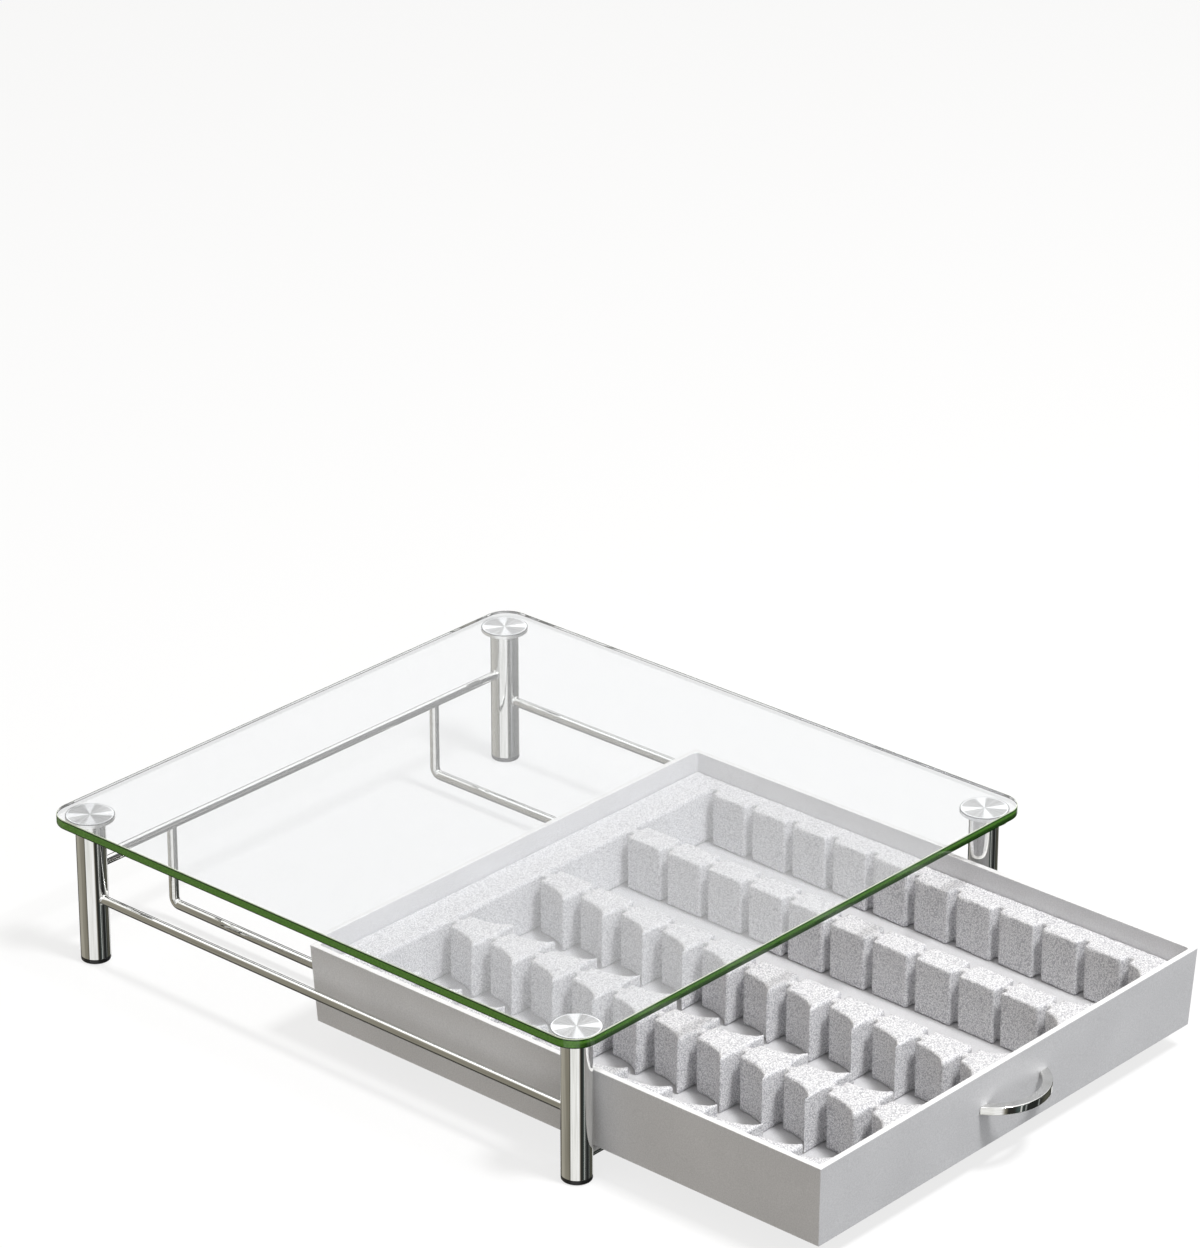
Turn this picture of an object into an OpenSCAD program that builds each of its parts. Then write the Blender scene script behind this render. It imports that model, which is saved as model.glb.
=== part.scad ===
// Coffee pod drawer: a low stand with a glass top and a pull-out tray of standing pods.
// Millimetres, +Z up and +Y to the rear. The tray is drawn part open. The origin lies on the
// table, under the middle of the outline of stand, open tray and handle together.

/* [Glass top] */
// Width of the glass, left to right
glass_w = 331; // [310:1:380]
// Depth of the glass, front to rear
glass_l = 351; // [320:1:400]
// Thickness of the glass
glass_t = 5; // [4:0.5:8]
// Radius of the corners of the glass
glass_corner_r = 13; // [8:1:30]

/* [Legs] */
// Outside diameter of a leg tube
leg_d = 15; // [12:0.5:20]
// Wall of a leg tube
leg_wall = 1; // [0.8:0.1:2]
// Distance from the side edge of the glass to the axis of a leg
leg_side_inset = 16.2; // [13:0.1:25]
// Distance from the front or rear edge of the glass to the axis of a leg
leg_end_inset = 14.6; // [13:0.1:25]
// Diameter of the metal disc glued under the glass
disc_d = 24.5; // [20:0.5:30]
// Thickness of that disc
disc_t = 2; // [1.5:0.5:4]
// Diameter of the threaded stud below the disc
stud_d = 6; // [4:0.5:8]
// Length of the stud
stud_l = 9; // [6:0.5:11]
// Height of the threaded insert in the top of a leg
insert_h = 12; // [11:0.5:16]
// Height of the rubber foot that shows below a leg
foot_h = 2.5; // [1.5:0.5:5]
// Height of the plug of a foot inside the tube
foot_plug_h = 10; // [6:0.5:14]

/* [Wires] */
// Diameter of the wire rail between the legs of one side
rail_d = 4.8; // [3:0.1:6]
// Height of the axis of the side rails above the table
rail_z = 34.8; // [25:0.1:45]
// Diameter of the cross bar between the rear legs
rear_bar_d = 4.5; // [3:0.5:6]
// Height of the axis of the rear cross bar above the table
rear_bar_z = 50.6; // [45:0.1:60]
// Diameter of the cross bar between the front legs
front_bar_d = 4.5; // [3:0.5:5]
// Diameter of the two guide wires that carry the tray
guide_d = 5; // [4:0.5:6]
// Distance from the axis of a leg to the axis of the guide wire beside it
guide_inset = 54.3; // [30:0.1:90]
// Height of the axes of the guide wires and the front bar above the table
base_wire_z = 9.8; // [9:0.1:16]
// Inside radius of the bend of a guide wire
guide_bend_in_r = 1.3; // [0.8:0.1:10]

/* [Tray] */
// Height of the tray
tray_h = 41.3; // [36:0.1:50]
// Thickness of the tray walls
tray_wall = 3; // [2.5:0.1:4]
// Thickness of the tray floor
tray_floor = 2; // [1.5:0.1:4]
// How far each wall leans in from the top of the tray to its underside
tray_draft = 2; // [0.5:0.1:4]
// Distance from the axes of the front legs back to the front of the shut tray
front_setback = 1.8; // [0:0.1:6]
// How far the tray is drawn out of the stand
pull_out = 139; // [20:1:155]

/* [Pods] */
// Diameter of the rim of a pod, which stands on the tray floor
pod_d = 60; // [56:0.5:62]
// Space between the top of a pod and the glass
pod_headroom = 1.8; // [0.5:0.1:6]
// Thickness of the foam liner
liner_h = 29.3; // [22:0.1:34]
// Foam left between the rim slots of two rows
row_gap = 3.6; // [2.5:0.1:5]
// Distance between two pod slots of one row
slot_pitch = 26.3; // [24:0.1:34]
// Distance from the front of the tray to the middle of the first slot
first_slot = 29; // [26:0.5:40]
// Thickness of the slot for the rim of a pod
slot_t = 4; // [3:0.1:6]
// Width of a pocket beside the rim slot
pocket_w = 50; // [44:0.5:54]
// Length of the rounded pocket in front of the first slot
pocket_l = 17.5; // [12:0.5:19]
// Width of the neck between two pockets in a row for small pods
small_neck_w = 28; // [16:0.5:40]
// Width of the neck between two pockets in a row for large pods
large_neck_w = 48; // [42:0.5:50]

/* [Handle] */
// Width of the bow handle across its two ends
handle_span = 51; // [45:0.5:80]
// How far the bow stands out from the front of the tray
handle_reach = 15.4; // [14:0.1:24]
// Thickness of the bow's bar, seen from above
handle_t = 5; // [4:0.1:8]
// Height of the bow's bar
handle_h = 4.2; // [3.8:0.1:8]
// Height of the middle of the bow above the underside of the tray
handle_up = 22; // [12:0.1:28]
// Diameter of the handle screws
screw_d = 2.5; // [2:0.1:3]
// Diameter of the countersunk head
screw_head_d = 5; // [4:0.1:7]
// Height of the countersunk head
screw_head_h = 1.4; // [1.2:0.1:2]
// Length of thread inside the handle
screw_bite = 3.5; // [3:0.1:5]

/* [Hidden] */
$fn = 72;

// Overrun of every cut
cut = 1;
// Gap round a plug pressed into a tube
press_gap = 0.05;
// Gap round a screw or stud in its thread
thread_gap = 0.05;
// Gap between a coped wire and what it is welded to
weld_gap = 0.03;
// How deep the end of a guide wire saddles round its cross bar
weld_sink = 1;
// Gap between the tray and each leg
leg_gap = 1.5;
// Gap under the tray, and behind it when it is shut
running_gap = 0.3;
// Gap between the liner and the tray walls
liner_gap = 0.4;
// Gap between a pod's rim and the ends of its slot
pod_gap = 0.5;
// Least foam left between the last slot and the rear wall, and beside the outer rows
liner_edge = 4;
// Chamfer under a rubber foot
foot_chamfer = 0.6;
// How far a screw head lies below the inner face of the tray wall
head_sink = 0.25;
// Width, length and depth of the cross in a screw head
cross_w = 0.7;
cross_l = 2.8;
cross_depth = 0.9;
// Steps in the rounded side of a pocket
pocket_steps = 6;

// Places of the legs, from the middle of the stand
leg_x = glass_w / 2 - leg_side_inset;
leg_y = glass_l / 2 - leg_end_inset;
leg_bore = leg_d - 2 * leg_wall;

// The tray lies between the legs, and shut it reaches from the front legs to the guide wires
tray_w = 2 * (leg_x - leg_d / 2 - leg_gap);
tray_l = 2 * leg_y - front_setback - guide_d / 2 - running_gap;
tray_z = base_wire_z + guide_d / 2 + running_gap;
tray_slope_share = tray_draft / tray_h;

// Place of the guide wires from the middle, and the radius of their bend on its axis
guide_x = leg_x - guide_inset;
guide_bend_r = guide_d / 2 + guide_bend_in_r;

// Heights of the glass and of the discs under it
glass_z = tray_z + tray_floor + pod_d + pod_headroom;
disc_z = glass_z - disc_t;

// Front wall of the tray at the height of the handle, from the plane of its top edge
handle_setback = tray_slope_share * (tray_h - handle_up);
handle_z = tray_z + handle_up;

// Circle of the bow through its two ends and its furthest point
bow_r = (pow(handle_span / 2, 2) + pow(handle_reach, 2)) / (2 * handle_reach);
bow_chord = bow_r - handle_reach;
foot_inner = sqrt(pow(bow_r - handle_t, 2) - pow(bow_chord, 2));
bite_outer = sqrt(pow(bow_r, 2) - pow(bow_chord + screw_bite, 2));

// A screw has as much metal inside it at its root as outside it at its tip
screw_x = (foot_inner + bite_outer) / 2;

// Middle of the stand and front of the tray, from the middle of the whole outline
front_reach = leg_y - front_setback + pull_out - handle_setback + handle_reach;
stand_y = (front_reach - glass_l / 2) / 2;
tray_front_y = stand_y - leg_y + front_setback - pull_out;
handle_face_y = tray_front_y + handle_setback;

// Inside of the tray at a height above its underside
function inner_w(z) = tray_w - 2 * tray_wall - 2 * tray_slope_share * (tray_h - z);
function inner_l(z) = tray_l - 2 * tray_wall - 2 * tray_slope_share * (tray_h - z);

// Rows and slots that the liner has room for
row_pitch = pod_d + 2 * pod_gap + row_gap;
row_count = floor((inner_w(tray_floor) - 2 * liner_edge) / row_pitch);
last_slot_room = tray_l - tray_draft - tray_wall - liner_edge - slot_t / 2;
slot_count = floor((last_slot_room - first_slot) / slot_pitch) + 1;

// Places a piece at a leg; side is -1 on the left, end is -1 at the front
module at_leg(side, end) {
    translate([side * leg_x, stand_y + end * leg_y, 0]) children();
}

// Places a piece from the front of the tray, at its underside
module at_tray() {
    translate([0, tray_front_y, tray_z]) children();
}

// A wire from one point along X, Y or Z
module wire_x(length, d) {
    rotate([0, 90, 0]) cylinder(h = length, d = d);
}

module wire_y(length, d) {
    rotate([-90, 0, 0]) cylinder(h = length, d = d);
}

// The four leg tubes as cutters, for the saddles at the ends of the wires
module leg_saddles() {
    for (side = [-1, 1], end = [-1, 1])
        at_leg(side, end) cylinder(h = glass_z, d = leg_d + 2 * weld_gap);
}

// Both cross bars, plain from leg axis to leg axis, with a gap round them
module bar_blank(end, z, d, gap) {
    translate([-leg_x, stand_y + end * leg_y, z]) wire_x(2 * leg_x, d + 2 * gap);
}

// A block whose walls lean in towards its underside as the tray's do.
// Its width and length are those of its top, and its front top edge lies at inset.
module drafted_block(w, l, h, inset) {
    lean = tray_slope_share * h;
    translate([0, inset, 0]) intersection() {
        translate([0, l, 0]) rotate([90, 0, 0]) linear_extrude(l)
            polygon([[-w / 2, h], [w / 2, h], [w / 2 - lean, 0], [-w / 2 + lean, 0]]);
        translate([-w / 2, 0, 0]) rotate([90, 0, 90]) linear_extrude(w)
            polygon([[0, h], [l, h], [l - lean, 0], [lean, 0]]);
    }
}

// One side of a row's outline, from the rounded front end to the last slot
function pocket_side(from, to, narrow, wide) = [
    for (k = [0 : pocket_steps])
        let (turn = 90 * k / pocket_steps)
        [narrow + (wide - narrow) * sin(turn), to - (to - from) * cos(turn)]
];

function slot_y(i) = first_slot + i * slot_pitch;

function row_side(neck_w) = [
    for (i = [0 : slot_count - 1])
        let (
            front = slot_y(i) - slot_t / 2,
            rear = slot_y(i) + slot_t / 2,
            rim = pod_d / 2 + pod_gap,
            start = i == 0 ? front - pocket_l : slot_y(i - 1) + slot_t / 2,
            narrow = i == 0 ? 0 : neck_w / 2
        )
        each concat(pocket_side(start, front, narrow, pocket_w / 2), [[rim, front], [rim, rear]])
];

function row_outline(neck_w) =
    let (side = row_side(neck_w))
    concat(side, [for (k = [len(side) - 1 : -1 : 1]) [-side[k].x, side[k].y]]);

// A countersunk screw along -Y with its flat head at the origin
module screw(gap) {
    rotate([90, 0, 0]) {
        cylinder(h = screw_head_h, d1 = screw_head_d + 2 * gap, d2 = screw_d + 2 * gap);
        cylinder(h = tray_wall - head_sink + screw_bite + gap, d = screw_d + 2 * gap);
    }
}

// Places something at both handle screws, at the flat of the head
module at_screws() {
    for (side = [-1, 1])
        translate([side * screw_x, handle_face_y + tray_wall - head_sink, handle_z]) children();
}

// Tempered glass plate with round corners
module glass_top() {
    color([0.75, 0.92, 0.84, 0.4])
    translate([0, stand_y, glass_z]) linear_extrude(glass_t) union() {
        square([glass_w - 2 * glass_corner_r, glass_l], center = true);
        square([glass_w, glass_l - 2 * glass_corner_r], center = true);
        for (side = [-1, 1], end = [-1, 1])
            translate([side * (glass_w / 2 - glass_corner_r), end * (glass_l / 2 - glass_corner_r)])
                circle(glass_corner_r);
    }
}

// Chromed tube, open at both ends
module leg(side, end) {
    leg_h = disc_z - foot_h;
    color("silver")
    at_leg(side, end) translate([0, 0, foot_h]) difference() {
        cylinder(h = leg_h, d = leg_d);
        translate([0, 0, -cut]) cylinder(h = leg_h + 2 * cut, d = leg_bore);
    }
}

// Brushed disc with its stud, glued under the glass
module disc(side, end) {
    color("gainsboro")
    at_leg(side, end) {
        translate([0, 0, disc_z]) cylinder(h = disc_t, d = disc_d);
        translate([0, 0, disc_z - stud_l]) cylinder(h = stud_l + disc_t / 2, d = stud_d);
    }
}

// Threaded plug pressed into the top of a leg
module insert(side, end) {
    color("dimgray")
    at_leg(side, end) translate([0, 0, disc_z - insert_h]) difference() {
        cylinder(h = insert_h, d = leg_bore - 2 * press_gap);
        translate([0, 0, -cut]) cylinder(h = insert_h + 2 * cut, d = stud_d + 2 * thread_gap);
    }
}

// Rubber cap with a plug that holds it in the tube
module foot(side, end) {
    color([0.08, 0.08, 0.08])
    at_leg(side, end) {
        cylinder(h = foot_chamfer, d1 = leg_d - 2 * foot_chamfer, d2 = leg_d);
        translate([0, 0, foot_chamfer]) cylinder(h = foot_h - foot_chamfer, d = leg_d);
        translate([0, 0, foot_h / 2])
            cylinder(h = foot_h / 2 + foot_plug_h, d = leg_bore - 2 * press_gap);
    }
}

// Wire between the front and rear leg of one side
module side_rail(side) {
    color("silver")
    difference() {
        translate([side * leg_x, stand_y - leg_y, rail_z]) wire_y(2 * leg_y, rail_d);
        leg_saddles();
    }
}

module rear_cross_bar() {
    color("silver")
    difference() {
        bar_blank(1, rear_bar_z, rear_bar_d, 0);
        leg_saddles();
    }
}

module front_cross_bar() {
    color("gray")
    difference() {
        bar_blank(-1, base_wire_z, front_bar_d, 0);
        leg_saddles();
    }
}

// Wire that hangs from the rear bar, bends and runs forward under the tray to the front bar
module guide_wire(side) {
    bend_y = leg_y - guide_bend_r;
    drop = rear_bar_z - rear_bar_d / 2 + weld_sink - base_wire_z - guide_bend_r;
    run = bend_y + leg_y - front_bar_d / 2 + weld_sink;
    color("silver")
    difference() {
        translate([side * guide_x, stand_y, base_wire_z]) {
            translate([0, leg_y, guide_bend_r]) cylinder(h = drop, d = guide_d);
            translate([0, bend_y, guide_bend_r]) rotate([90, 0, 90]) rotate([0, 0, -90])
                rotate_extrude(angle = 90) translate([guide_bend_r, 0]) circle(d = guide_d);
            translate([0, bend_y - run, 0]) wire_y(run, guide_d);
        }
        bar_blank(1, rear_bar_z, rear_bar_d, weld_gap);
        bar_blank(-1, base_wire_z, front_bar_d, weld_gap);
    }
}

// Moulded tray with leaning walls
module drawer_tray() {
    color([0.72, 0.72, 0.72])
    difference() {
        at_tray() difference() {
            drafted_block(tray_w, tray_l, tray_h, 0);
            translate([0, 0, tray_floor]) drafted_block(
                inner_w(tray_h + cut), inner_l(tray_h + cut), tray_h + cut - tray_floor,
                tray_wall - tray_slope_share * cut
            );
        }
        at_screws() {
            screw(thread_gap);
            rotate([-90, 0, 0]) cylinder(h = cut, d = screw_head_d + 2 * thread_gap);
        }
    }
}

// Foam block with a row of open pockets for each row of pods
module pod_liner() {
    top = tray_floor + liner_h;
    wall_at_top = (tray_w - inner_w(top)) / 2;
    color("white")
    at_tray() translate([0, 0, tray_floor]) difference() {
        drafted_block(
            inner_w(top) - 2 * liner_gap, inner_l(top) - 2 * liner_gap, liner_h,
            wall_at_top + liner_gap
        );
        for (i = [0 : row_count - 1])
            translate([(i - (row_count - 1) / 2) * row_pitch, 0, -cut])
                linear_extrude(liner_h + 2 * cut)
                    polygon(row_outline(i < row_count / 2 ? small_neck_w : large_neck_w));
    }
}

// Flat bar bent to a bow, with its ends cut to the leaning front of the tray
module bow_handle() {
    color("silver")
    difference() {
        translate([0, handle_face_y + bow_chord, handle_z - handle_h / 2]) difference() {
            cylinder(h = handle_h, r = bow_r, $fn = 144);
            translate([0, 0, -cut]) cylinder(h = handle_h + 2 * cut, r = bow_r - handle_t, $fn = 144);
        }
        at_tray() drafted_block(tray_w, tray_l, tray_h, 0);
        at_screws() screw(thread_gap);
    }
}

// Both screws that hold the handle, driven from inside the tray
module handle_screws() {
    color("dimgray")
    at_screws() difference() {
        screw(0);
        for (turn = [0, 90])
            rotate([0, turn, 0]) cube([cross_l, 2 * cross_depth, cross_w], center = true);
    }
}

glass_top();
leg(-1, -1);  // front_left_leg
leg(1, -1);  // front_right_leg
leg(-1, 1);  // rear_left_leg
leg(1, 1);  // rear_right_leg
disc(-1, -1);  // front_left_disc
disc(1, -1);  // front_right_disc
disc(-1, 1);  // rear_left_disc
disc(1, 1);  // rear_right_disc
insert(-1, -1);  // front_left_insert
insert(1, -1);  // front_right_insert
insert(-1, 1);  // rear_left_insert
insert(1, 1);  // rear_right_insert
foot(-1, -1);  // front_left_foot
foot(1, -1);  // front_right_foot
foot(-1, 1);  // rear_left_foot
foot(1, 1);  // rear_right_foot
side_rail(-1);  // left_side_rail
side_rail(1);  // right_side_rail
rear_cross_bar();
front_cross_bar();
guide_wire(-1);  // left_guide_wire
guide_wire(1);  // right_guide_wire
drawer_tray();
pod_liner();
bow_handle();
handle_screws();
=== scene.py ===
# Coffee pod drawer: a glass-topped stand on chromed legs, with a pull-out tray and its foam liner
import bmesh
import bpy
import math
from mathutils import Matrix, Vector


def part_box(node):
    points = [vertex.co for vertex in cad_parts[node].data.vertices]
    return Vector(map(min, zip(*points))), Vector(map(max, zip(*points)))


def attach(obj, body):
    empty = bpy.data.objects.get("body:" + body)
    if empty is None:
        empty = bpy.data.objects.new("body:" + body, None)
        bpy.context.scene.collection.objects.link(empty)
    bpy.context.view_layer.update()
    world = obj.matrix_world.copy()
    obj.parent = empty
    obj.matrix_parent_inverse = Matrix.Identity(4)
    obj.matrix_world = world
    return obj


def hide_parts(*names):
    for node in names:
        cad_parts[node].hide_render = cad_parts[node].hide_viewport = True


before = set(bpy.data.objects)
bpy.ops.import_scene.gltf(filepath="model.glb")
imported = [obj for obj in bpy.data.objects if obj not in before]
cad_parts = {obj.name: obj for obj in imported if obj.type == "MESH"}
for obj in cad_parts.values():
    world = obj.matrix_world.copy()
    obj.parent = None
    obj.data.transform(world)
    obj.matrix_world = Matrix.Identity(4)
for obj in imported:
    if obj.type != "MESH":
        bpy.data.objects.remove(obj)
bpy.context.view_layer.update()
mm = 0.001
print("frame loaded:", len(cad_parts), "nodes")

# Camera at the photograph's angle
cameraLook = {
    "azimuth": -48.056,  # degrees round the object; 0 looks along +Y
    "elevation": 24.455,
    "distance": 2.8894,
    "lens": 155.01,  # millimetres, for the long side of the picture
    "target": (0.2195, 0.22475, 0.0586),
    "clip": (0.1, 50),
}
turn, lift = math.radians(cameraLook["azimuth"]), math.radians(cameraLook["elevation"])
back = Vector((math.sin(turn) * math.cos(lift), -math.cos(turn) * math.cos(lift), math.sin(lift)))
bpy.ops.object.camera_add(location=Vector(cameraLook["target"]) + back * cameraLook["distance"])
camera = bpy.context.object
camera.rotation_euler = back.to_track_quat("Z", "Y").to_euler()
camera.data.lens = cameraLook["lens"]
camera.data.clip_start, camera.data.clip_end = cameraLook["clip"]
bpy.context.scene.camera = camera
bpy.context.scene.view_settings.view_transform = "Standard"
print("camera placed")

noiseCore = (0.35, 0.65)  # most of a noise pattern's values lie between these
noiseWide = (0.3, 0.7)


def linearColor(code):  # sRGB hex to a linear colour with alpha 1
    shares = [int(code[i:i + 2], 16) / 255 for i in (1, 3, 5)]
    return [s / 12.92 if s <= 0.04045 else ((s + 0.055) / 1.055) ** 2.4 for s in shares] + [1.0]


def addNode(tree, kind, settings=None, links=None):  # one node, its settings, and what feeds it
    node = tree.nodes.new(kind)
    for name, value in (settings or {}).items():
        if isinstance(name, int) or name in node.inputs:
            node.inputs[name].default_value = value
        else:
            setattr(node, name, value)
    for name, source in (links or {}).items():
        tree.links.new(source, node.inputs[name])
    return node


def newMaterial(name):  # an empty material, its node tree and its output
    material = bpy.data.materials.new(name)
    material.use_nodes = True
    tree = material.node_tree
    tree.nodes.clear()
    return material, tree, tree.nodes.new("ShaderNodeOutputMaterial")


def grey(value):
    return (value, value, value, 1)


def setStops(ramp, stops):  # stops are (position, colour) in rising order
    line = ramp.color_ramp
    while len(line.elements) > 1:
        line.elements.remove(line.elements[-1])
    line.elements[0].position, line.elements[0].color = stops[0]
    for position, color in stops[1:]:
        line.elements.new(position).color = color


# Tempered float glass: mirror-smooth on both faces, faintly grey where it is looked through
glassLook = {"body": "#E8E9EA", "passing": "#FAFAFA", "ior": 1.52}


def clearGlassMaterial():
    material, tree, output = newMaterial("temperedGlass")
    body = addNode(tree, "ShaderNodeBsdfPrincipled", {
        "Base Color": linearColor(glassLook["body"]), "Transmission Weight": 1.0,
        "Roughness": 0.0, "IOR": glassLook["ior"]})
    passing = addNode(tree, "ShaderNodeBsdfTransparent", {"Color": linearColor(glassLook["passing"])})
    path = addNode(tree, "ShaderNodeLightPath")
    either = addNode(tree, "ShaderNodeMath", {"operation": "MAXIMUM"},
                     {0: path.outputs["Is Shadow Ray"], 1: path.outputs["Is Diffuse Ray"]})
    mixed = addNode(tree, "ShaderNodeMixShader", links={
        0: either.outputs[0], 1: body.outputs[0], 2: passing.outputs[0]})
    tree.links.new(mixed.outputs[0], output.inputs["Surface"])
    return material


# Ground and polished edge: along the plate its iron shows as deep green, with painted shade beside the two
# arrises.
# The upper arris has a thin pale painted highlight, and the upper edge is painted dark where it is seen from
# inside the plate at the far edges.
# Places up the edge are shares of the plate's thickness
edgeLook = {
    "light": "#7DBC4D", "dark": "#68AA3B", "line": "#22580F", "deep": "#143809", "arris": "#E4EED4",
    "inside": "#454846", "rough": 0.06, "through": 0.5, "streak": 1.2 * mm,
    "arrisShadeLines": [(0.0, 1), (0.09, 1), (0.2, 0), (0.74, 0), (0.88, 1), (1.0, 1)],  # painted shade: where it darkens beside the arrises
    "shadeUp": (0.62, 0.4), "shadeLow": 0.35,  # painted shade: along the front, the lower half is painted darker
    "shadeIn": (5 * mm, 1 * mm), "shade": 0.9,
    # painted highlight along the upper arris
    "arrisHighlightUp": (0.925, 0.945),
    "insideShadeUp": (0.6, 0.72), "ground": 0.95,  # painted shade: seen from inside, the edge above this is dark, and only the lower part is clear
}


def glassEdgeMaterial(low, high, front):
    material, tree, output = newMaterial("polishedGlassEdge")
    place = addNode(tree, "ShaderNodeTexCoord")
    streaks = addNode(tree, "ShaderNodeTexNoise", {
        "Scale": 1 / edgeLook["streak"], "Detail": 3.0, "Roughness": 0.6},
        {"Vector": place.outputs["Object"]})
    tint = addNode(tree, "ShaderNodeValToRGB", links={0: streaks.outputs[0]})
    setStops(tint, [(noiseCore[0], linearColor(edgeLook["dark"])),
                    (noiseCore[1], linearColor(edgeLook["light"]))])
    parts = addNode(tree, "ShaderNodeSeparateXYZ", links={0: place.outputs["Object"]})
    height = addNode(tree, "ShaderNodeMapRange", {"From Min": low, "From Max": high},
                     {"Value": parts.outputs["Z"]})
    line = addNode(tree, "ShaderNodeValToRGB", links={0: height.outputs[0]})
    setStops(line, [(up, grey(share)) for up, share in edgeLook["arrisShadeLines"]])
    arrisShaded = addNode(tree, "ShaderNodeMix", {"data_type": "RGBA", 7: linearColor(edgeLook["line"])},
                    {0: line.outputs[0], 6: tint.outputs[0]})
    below = addNode(tree, "ShaderNodeMapRange", {
        "From Min": edgeLook["shadeUp"][0], "From Max": edgeLook["shadeUp"][1],
        "To Min": edgeLook["shadeLow"]}, {"Value": height.outputs[0]})
    ahead = addNode(tree, "ShaderNodeMapRange", {
        "From Min": front + edgeLook["shadeIn"][0], "From Max": front + edgeLook["shadeIn"][1],
        "To Max": edgeLook["shade"]}, {"Value": parts.outputs["Y"]})
    sunk = addNode(tree, "ShaderNodeMath", {"operation": "MULTIPLY"},
                   {0: below.outputs[0], 1: ahead.outputs[0]})
    # painted shade: the lower half of the front edge turns deep green
    shaded = addNode(tree, "ShaderNodeMix", {"data_type": "RGBA", 7: linearColor(edgeLook["deep"])},
                     {0: sunk.outputs[0], 6: arrisShaded.outputs[2]})
    # painted highlight: a thin pale line along the upper arris
    rim = addNode(tree, "ShaderNodeMapRange", {
        "From Min": edgeLook["arrisHighlightUp"][0], "From Max": edgeLook["arrisHighlightUp"][1]}, {"Value": height.outputs[0]})
    color = addNode(tree, "ShaderNodeMix", {"data_type": "RGBA", 7: linearColor(edgeLook["arris"])},
                    {0: rim.outputs[0], 6: shaded.outputs[2]})
    green = addNode(tree, "ShaderNodeBsdfPrincipled", {
        "Roughness": edgeLook["rough"], "IOR": glassLook["ior"], "Transmission Weight": edgeLook["through"]},
        {"Base Color": color.outputs[2]})
    clear = addNode(tree, "ShaderNodeBsdfPrincipled", {
        "Base Color": linearColor(glassLook["body"]), "Transmission Weight": 1.0,
        "Roughness": 0.0, "IOR": glassLook["ior"]})
    # painted shade: the dark matt face shown from inside the plate
    ground = addNode(tree, "ShaderNodeBsdfDiffuse", {"Color": linearColor(edgeLook["inside"])})
    upper = addNode(tree, "ShaderNodeMapRange", {
        "From Min": edgeLook["insideShadeUp"][0], "From Max": edgeLook["insideShadeUp"][1],
        "To Max": edgeLook["ground"]}, {"Value": height.outputs[0]})
    within = addNode(tree, "ShaderNodeMixShader", links={
        0: upper.outputs[0], 1: clear.outputs[0], 2: ground.outputs[0]})
    side = addNode(tree, "ShaderNodeNewGeometry")
    mixed = addNode(tree, "ShaderNodeMixShader", links={
        0: side.outputs["Backfacing"], 1: green.outputs[0], 2: within.outputs[0]})
    tree.links.new(mixed.outputs[0], output.inputs["Surface"])
    return material


# Decorative chrome plate over steel: near-mirror, with a faint haze from polishing
chromeLook = {
    "light": "#F2F2F0", "dark": "#E2E2DF", "rough": (0.03, 0.06), "haze": 9 * mm,
    "streak": 1.1 * mm,  # real polishing marks are finer and wouldn't show
    "wave": 0.003 * mm, "waveShare": 0.15,
}


def chromeMaterial(name, stretch):  # the marks of polishing are drawn out along each piece
    material, tree, output = newMaterial(name)
    place = addNode(tree, "ShaderNodeTexCoord")
    shift = addNode(tree, "ShaderNodeMapping", {"Scale": stretch}, {"Vector": place.outputs["Object"]})
    haze = addNode(tree, "ShaderNodeTexNoise", {"Scale": 1 / chromeLook["haze"], "Detail": 4.0},
                   {"Vector": shift.outputs[0]})
    rough = addNode(tree, "ShaderNodeMapRange", {
        "From Min": noiseWide[0], "From Max": noiseWide[1],
        "To Min": chromeLook["rough"][0], "To Max": chromeLook["rough"][1]}, {"Value": haze.outputs[0]})
    bump = addNode(tree, "ShaderNodeBump", {
        "Strength": chromeLook["waveShare"], "Distance": chromeLook["wave"]}, {"Height": haze.outputs[0]})
    streaks = addNode(tree, "ShaderNodeTexNoise", {"Scale": 1 / chromeLook["streak"], "Detail": 3.0},
                      {"Vector": shift.outputs[0]})
    tint = addNode(tree, "ShaderNodeValToRGB", links={0: streaks.outputs[0]})
    setStops(tint, [(noiseCore[0], linearColor(chromeLook["dark"])),
                    (noiseCore[1], linearColor(chromeLook["light"]))])
    plate = addNode(tree, "ShaderNodeBsdfPrincipled", {"Metallic": 1.0}, {
        "Base Color": tint.outputs[0], "Roughness": rough.outputs[0], "Normal": bump.outputs[0]})
    tree.links.new(plate.outputs[0], output.inputs["Surface"])
    return material


# Spun aluminium disc: painted highlights stand in for the bright wedges its turned rings throw, with a fine
# painted radial sheen between them.
# A painted highlight runs round it as a bright band on the turned chamfer, and the glue ends there in a thin
# dark line.
# Places across the disc are shares of its width
discLook = {
    "light": "#FAFAFA", "dark": "#989795", "chamferHighlight": "#FFFFFF", "joint": "#2E2F32",
    "highlightWedges": 4.0, "first": -42,  # painted highlight wedges round the disc, and the angle of the first in degrees
    "highlightWedge": (0.35, 0.95), "highlightShare": 0.7, "darkest": 0.34, "sheen": 5.0,
    "chamferHighlightBand": (0.45, 0.458), "edge": (0.478, 0.484), "jointDeep": 0.35 * mm,
    "rough": 0.3, "anisotropic": 0.7,
    "ring": 0.5 * mm, "groove": 0.004 * mm, "grooveShare": 0.3,  # real rings are finer and wouldn't show
}


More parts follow.
